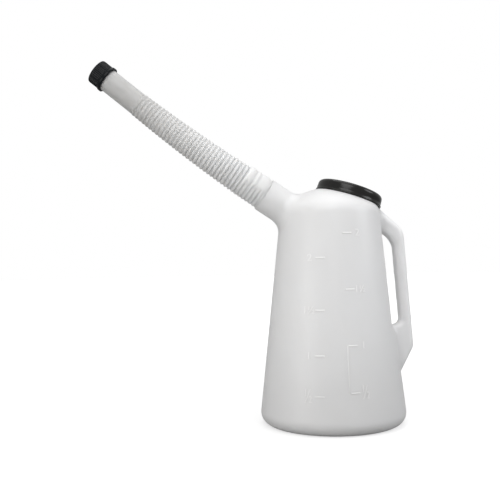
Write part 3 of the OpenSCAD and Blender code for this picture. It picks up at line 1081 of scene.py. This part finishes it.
@dataclass
class Spout:
    """The flexible corrugated spout, with its plug and its threaded tip."""

    ridges: int = 30
    pitch: float = 4.18
    root_r: float = 15.6
    tip_ridge_r: float = 12.0
    groove_root: float = 1.15
    groove_tip: float = 0.6
    under_depth: float = 0.8
    tip_r: float = 11.4
    thread_r: float = 10.1
    plug_r: float = 15.1
    plug_len: float = 20.0
    wall: float = 1.4
    thread_start: float = 3.0
    thread_turns: float = 2.6
    thread_h: float = 0.45
    rim: float = 12.3
    steps: int = 96
    samples: int = 10
    band_start: float = 0.32
    bands: tuple[Point2, ...] = (
        (15.7, 0.3), (15.75, 1.6), (15.95, 2.6), (16.4, 3.6), (16.7, 5.0), (16.8, 7.5), (16.6, 10.4),
        (16.25, 11.6), (15.9, 12.4), (15.8, 13.0), (16.1, 13.8), (16.8, 14.5), (17.1, 15.4),
        (17.0, 16.3), (16.5, 17.0), (16.0, 17.6), (15.9, 18.2), (16.2, 19.0), (16.7, 20.2),
        (16.9, 22.0), (16.8, 24.0), (16.4, 25.4), (15.5, 26.4), (14.6, 27.0), (14.1, 27.2))

    def band_r(self, s: float) -> float:
        """Radius of the smooth bands next to the neck, at a distance from its rim."""
        return float(np.interp(s, [p[1] for p in self.bands], [p[0] for p in self.bands]))

    def groove(self, s: float) -> float:
        """Share of the grooves' depth at a distance from the neck's rim."""
        wave = 0.5 - 0.5 * math.cos(TURN * (s - LAYOUT.ridge_start) / self.pitch)
        return (1.0 - wave) ** 1.4

    def underside_r(self, s: float) -> float:
        """Radius below the smooth bands, where the ridges run on to the neck."""
        fade = min(1.0, max(0.0, (s - 1.2) / 2.0))
        return self.band_r(2.0) - fade * self.under_depth * self.groove(s)

    def outline(self) -> list[Point2]:
        """Outside of the spout, radius against distance from the neck's rim."""
        points: list[Point2] = [(self.plug_r, s) for s in (-self.plug_len + 0.8, -0.6, 0.2)]
        start, samples, first = LAYOUT.ridge_start, self.samples, self.band_start
        step = self.pitch / samples
        places = (first + step * k for k in range(int((start - first) / step) + 1))
        points += [(self.band_r(s), s) for s in places]
        for i in range(self.ridges):
            share = i / (self.ridges - 1)
            crest = self.root_r + (self.tip_ridge_r - self.root_r) * share
            depth = self.groove_root + (self.groove_tip - self.groove_root) * share
            for k in range(samples):
                s = start + self.pitch * (i + k / samples)
                points.append((crest - depth * self.groove(s), s))
        end, cap = LAYOUT.ridge_end, LAYOUT.ridge_end + LAYOUT.plain_len
        tube = self.tip_ridge_r - self.groove_tip
        points += [(tube, end + 0.2), (tube + 0.1, end + 2.0)]
        points += [(tube + (self.tip_r - tube) * k / 8, end + 4.0 + (LAYOUT.plain_len - 6.0) * k / 8)
                   for k in range(9)]
        thread = cap + self.thread_start
        points += [(self.tip_r, thread - 0.4), (self.tip_r - 0.4, thread),
                   (self.thread_r, thread + 0.1), (self.thread_r, cap + self.rim - 0.4),
                   (self.thread_r - 0.4, cap + self.rim)]
        return points

    def ridge_underside(self, bm: Mesh) -> None:
        """Press the ridges into the lower half of the smooth bands.

        Args:
            bm: Straight spout, changed in place.
        """
        for vert in bm.verts:
            s, radius = vert.co.z, vert.co.xy.length
            if not 0.3 < s < LAYOUT.ridge_start or abs(radius - self.band_r(s)) > 0.01:
                continue
            down = -math.cos(math.atan2(vert.co.y, vert.co.x) + math.radians(LAYOUT.bend_turn))
            share = min(1.0, max(0.0, (down + 0.1) / 0.45))
            share = share * share * (3.0 - 2.0 * share)
            scale = (radius + share * (self.underside_r(s) - radius)) / radius
            vert.co.x *= scale
            vert.co.y *= scale

    def lining(self) -> list[Point2]:
        """Bore of the spout, run back from its tip to its plug."""
        wide, narrow = self.plug_r - self.wall, self.thread_r - self.wall
        first, last = -self.plug_len, LAYOUT.ridge_end + LAYOUT.plain_len + self.rim
        points: list[Point2] = [(narrow, last), (narrow, LAYOUT.ridge_end + 12.0)]
        points += [(narrow + (wide - narrow) * k / 40, LAYOUT.ridge_end - LAYOUT.ridged_len * k / 40)
                   for k in range(41)]
        return points + [(wide, 10.0), (wide, -8.0), (wide, first), (self.plug_r - 0.5, first)]

    def build(self) -> bpy.types.Object:
        """Make the spout straight, then lay it along its bend.

        Returns:
            The spout's object.
        """
        outside = self.outline()
        bm = turned(outside + self.lining(), self.steps, closed=True)
        self.ridge_underside(bm)
        frames: dict[float, Matrix] = {}
        # Share along the ridged part, the mask for the spout's painted shade.
        along = bm.verts.layers.float.new(ALONG)
        for vert in bm.verts:
            s = round(vert.co.z, 4)
            vert[along] = min(1.0, max(0.0, (s - LAYOUT.ridge_start) / LAYOUT.ridged_len))
            if s not in frames:
                frames[s] = LAYOUT.along_spout(s)
            vert.co = frames[s] @ Vector((vert.co.x, vert.co.y, 0.0))
        thread = helix(self.thread_r, self.thread_turns, self.thread_h, self.thread_start + 2.0,
                       inward=False)
        bmesh.ops.transform(thread, matrix=LAYOUT.cap(), verts=thread.verts)
        obj = to_object(joined([bm, thread]), "corrugated_spout", sharp_angle=60.0)
        dress(obj, MILKY_SPOUT, None, "translucent_spout", "flexible_spout")
        start = LAYOUT.along_spout(LAYOUT.ridge_start).translation * MM
        end = LAYOUT.along_spout(LAYOUT.ridge_end).translation * MM
        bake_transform(obj)
        return obj


@dataclass
class FillerLid:
    """The push-on lid over the filler mouth."""

    height: float = 11.6
    radius: float = 33.4
    lip: float = 0.5
    round: float = 4.4
    skin: float = 1.6
    plug_r: float = 27.55
    plug_len: float = 5.0
    lift: float = 0.25
    steps: int = 160

    def build(self) -> bpy.types.Object:
        """Make the lid: side with its step, top, and the ring that plugs the mouth.

        Returns:
            The lid's object.
        """
        r, h, skin, plug = self.radius, self.height, self.skin, self.plug_r
        under, low = h - skin, h - skin - self.plug_len
        edge = arc_points((r - self.round - 0.35, h - self.round), self.round, 0, 90, 10)
        outside = [(r + self.lip - 0.3, 0.0), (r + self.lip, 0.3), (r + self.lip, 1.0),
                   (r + self.lip - 0.2, 1.5), (r - 0.15, 2.1), (r - 0.15, 4.0),
                   (r - 0.3, h - self.round - 0.6), *edge, (r - 9.0, h - 0.02), (r - 10.0, h - 0.3),
                   (r - 11.0, h - 0.5), (0.0, h - 0.5)]
        inside = [(0.0, under), (plug - skin, under), (plug - skin, low), (plug - 0.5, low),
                  (plug, low + 0.8), (plug, under), (r - skin, under), (r - skin, 0.3),
                  (r - skin + 0.3, 0.0)]
        bm = turned(outside + inside, self.steps, closed=True)
        lid = to_object(bm, "push_on_lid", LAYOUT.mouth() @ Matrix.Translation((0, 0, self.lift)), 50.0)
        return dress(lid, SATIN_BLACK, Body.LID, "black_lid", "filler_lid")


@dataclass
class SpoutCap:
    """The ribbed screw cap on the tip of the spout, with its sealing disc."""

    length: float = 15.2
    radius: float = 12.6
    end_wall: float = 1.6
    skirt_out: float = 0.8
    skirt_len: float = 3.4
    skirt_bore: float = 11.9
    bore: float = 10.7
    ribs: int = 40
    rib_depth: float = 0.55
    thread_turns: float = 2.4
    thread_h: float = 0.4
    seal_t: float = 1.2
    seal_gap: float = 0.05

    def ribbed(self, bm: Mesh) -> None:
        """Press the grip's grooves into the side of the cap.

        Args:
            bm: Turned cap, changed in place.
        """
        for vert in bm.verts:
            radius, z = vert.co.xy.length, vert.co.z
            if radius < self.radius - 0.9 or not self.skirt_len + 0.2 < z < self.length - 0.2:
                continue
            wave = 0.5 + 0.5 * math.cos(self.ribs * math.atan2(vert.co.y, vert.co.x))
            fade = min(1.0, (self.length - z) / 1.2)
            scale = (radius - self.rib_depth * fade * (1.0 - wave ** 0.6)) / radius
            vert.co.x *= scale
            vert.co.y *= scale

    def build(self) -> list[bpy.types.Object]:
        """Make the cap and its disc.

        Returns:
            Both objects.
        """
        r, h, skirt, foot = self.radius, self.length, self.radius + self.skirt_out, self.skirt_len
        under = h - self.end_wall
        side = [(r, foot + 0.5 + (h - foot - 1.8) * k / 6) for k in range(7)]
        outside = [(skirt - 0.3, 0.0), (skirt, 0.3), (skirt, foot - 0.6), (skirt - 0.25, foot - 0.1),
                   (r, foot + 0.15), *side, (r - 0.15, h - 0.6), (r - 0.5, h - 0.2), (r - 1.0, h),
                   (r - 3.0, h), (r - 3.3, h - 0.25), (0.0, h - 0.25)]
        inside = [(0.0, under), (self.bore, under), (self.bore, foot + 0.3), (self.bore + 0.3, foot),
                  (self.skirt_bore, foot - 0.1), (self.skirt_bore, 0.3), (self.skirt_bore + 0.3, 0.0)]
        bm = turned(outside + inside, self.ribs * 8, closed=True)
        self.ribbed(bm)
        place = LAYOUT.cap()
        thread = helix(self.bore, self.thread_turns, self.thread_h, self.skirt_len + 2.4, inward=True)
        cap = to_object(joined([bm, thread]), "ribbed_cap", place, 55.0)
        dress(cap, RIBBED_BLACK, Body.CAP, "black_cap", "spout_cap")
        top, edge = under - self.seal_gap, self.bore - 0.3
        low = top - self.seal_t
        disc = turned([(0.0, low), (edge - 0.25, low), (edge, low + 0.25),
                       (edge, top - 0.25), (edge - 0.25, top), (0.0, top)], 96)
        seal = to_object(disc, "sealing_disc", place)
        return [cap, dress(seal, FOAM_DISC, Body.CAP_SEAL, "sealing_disc", "spout_cap_seal")]


@dataclass(frozen=True)
class Lamp:
    """A soft round lamp; place, aim and size are in metres, power in watts."""

    name: str
    place: Point3
    aim: Point3
    size: float
    power: float
    colour: Colour = (1.0, 1.0, 1.0)


@dataclass
class Studio:
    """Camera, lamps, floor and backdrop."""

    eye: Point3 = (-0.19446, -0.74148, 0.16699)
    forward: Point3 = (0.1511, 0.9885, 0.0092)
    up: Point3 = (0.0156, -0.0117, 0.9998)
    lens: float = 54.46
    shift: Point2 = (-0.0012, 0.001)
    world_level: float = 0.48
    floor_colour: Colour = (0.4, 0.4, 0.4)
    floor_reach: Point2 = (0.15, 0.9)
    floor_glow: Point2 = (0.66, 1.0)
    lamps: tuple[Lamp, ...] = (
        Lamp("key", (-0.20, -0.62, 0.74), (0.0, 0.0, 0.15), 0.6, 3.3),
        Lamp("top", (0.05, 0.10, 1.25), (0.0, 0.0, 0.1), 0.9, 3.6),
        Lamp("side", (1.0, -0.45, 0.65), (0.0, 0.0, 0.2), 0.6, 4.2, (0.97, 0.98, 1.0)),
        Lamp("fill", (-0.95, -0.60, 0.12), (-0.1, 0.0, 0.22), 0.7, 4.8, (1.0, 0.985, 0.96)))

    def camera(self) -> bpy.types.Object:
        """Set the camera at the photograph's angle."""
        data = bpy.data.cameras.new("camera")
        data.lens, data.sensor_width = self.lens, 36.0
        data.shift_x, data.shift_y = self.shift
        data.clip_start = 0.01
        camera = bpy.data.objects.new("camera", data)
        bpy.context.scene.collection.objects.link(camera)
        back = -Vector(self.forward).normalized()
        right = Vector(self.up).cross(back).normalized()
        frame = Matrix((right, back.cross(right), back)).transposed().to_4x4()
        camera.matrix_world = Matrix.Translation(self.eye) @ frame
        bpy.context.scene.camera = camera
        return camera

    def light(self) -> None:
        """Hang the soft lamps."""
        for lamp in self.lamps:
            data = bpy.data.lights.new(lamp.name, "AREA")
            data.shape, data.size = "DISK", lamp.size
            data.energy, data.color = lamp.power, lamp.colour
            holder = bpy.data.objects.new(lamp.name, data)
            bpy.context.scene.collection.objects.link(holder)
            holder.location = lamp.place
            ahead = Vector(lamp.aim) - Vector(lamp.place)
            holder.rotation_euler = ahead.to_track_quat("-Z", "Y").to_euler()

    def world(self) -> None:
        """Light the object evenly and show white to the camera."""
        world = bpy.data.worlds.new("studio")
        world.use_nodes = True
        tree = world.node_tree
        background = tree.nodes["Background"]
        background.inputs["Color"].default_value = (1.0, 1.0, 1.0, 1.0)
        rays = tree.nodes.new("ShaderNodeLightPath")
        seen = Surface.math(tree, "MAXIMUM", rays.outputs["Is Camera Ray"],
                            rays.outputs["Is Transmission Ray"])
        extra = Surface.math(tree, "MULTIPLY", seen, 1.0 - self.world_level)
        tree.links.new(Surface.math(tree, "ADD", extra, self.world_level), background.inputs["Strength"])
        bpy.context.scene.world = world

    def floor(self) -> bpy.types.Object:
        """Lay the pale floor, which keeps a soft shadow."""
        bm = bmesh.new()
        bmesh.ops.create_circle(bm, cap_ends=True, segments=64, radius=6000.0)
        obj = to_object(bm, "floor")
        material = bpy.data.materials.new("white_floor")
        material.use_nodes = True
        tree = material.node_tree
        shader = tree.nodes["Principled BSDF"]
        shader.inputs["Base Color"].default_value = (*self.floor_colour, 1.0)
        shader.inputs["Roughness"].default_value = 0.9
        shader.inputs["Specular IOR Level"].default_value = 0.1
        shader.inputs["Emission Color"].default_value = (1.0, 1.0, 1.0, 1.0)
        rays = tree.nodes.new("ShaderNodeLightPath")
        where = tree.nodes.new("ShaderNodeTexCoord").outputs["Object"]
        away = Surface.node(tree, "ShaderNodeVectorMath", {0: where}, operation="LENGTH")
        glow = Surface.ramp(tree, away.outputs["Value"], self.floor_reach, self.floor_glow, "LINEAR")
        tree.links.new(Surface.math(tree, "MULTIPLY", rays.outputs["Is Camera Ray"], glow),
                       shader.inputs["Emission Strength"])
        obj.data.materials.append(material)
        return obj

    def build(self) -> None:
        """Set up the whole studio."""
        self.camera()
        self.light()
        self.world()
        self.floor()
        bpy.context.scene.view_settings.view_transform = "Standard"


def main() -> None:
    """Build the jug's pieces in order, around the frame's solids."""
    logging.basicConfig(level=logging.INFO, format="%(name)s: %(message)s")
    Studio().build()
    jug = JugBody()
    jug.build()
    ScaleMarks(jug).build()
    Spout().build()
    FillerLid().build()
    SpoutCap().build()


if __name__ == "__main__":
    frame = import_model()
    main()
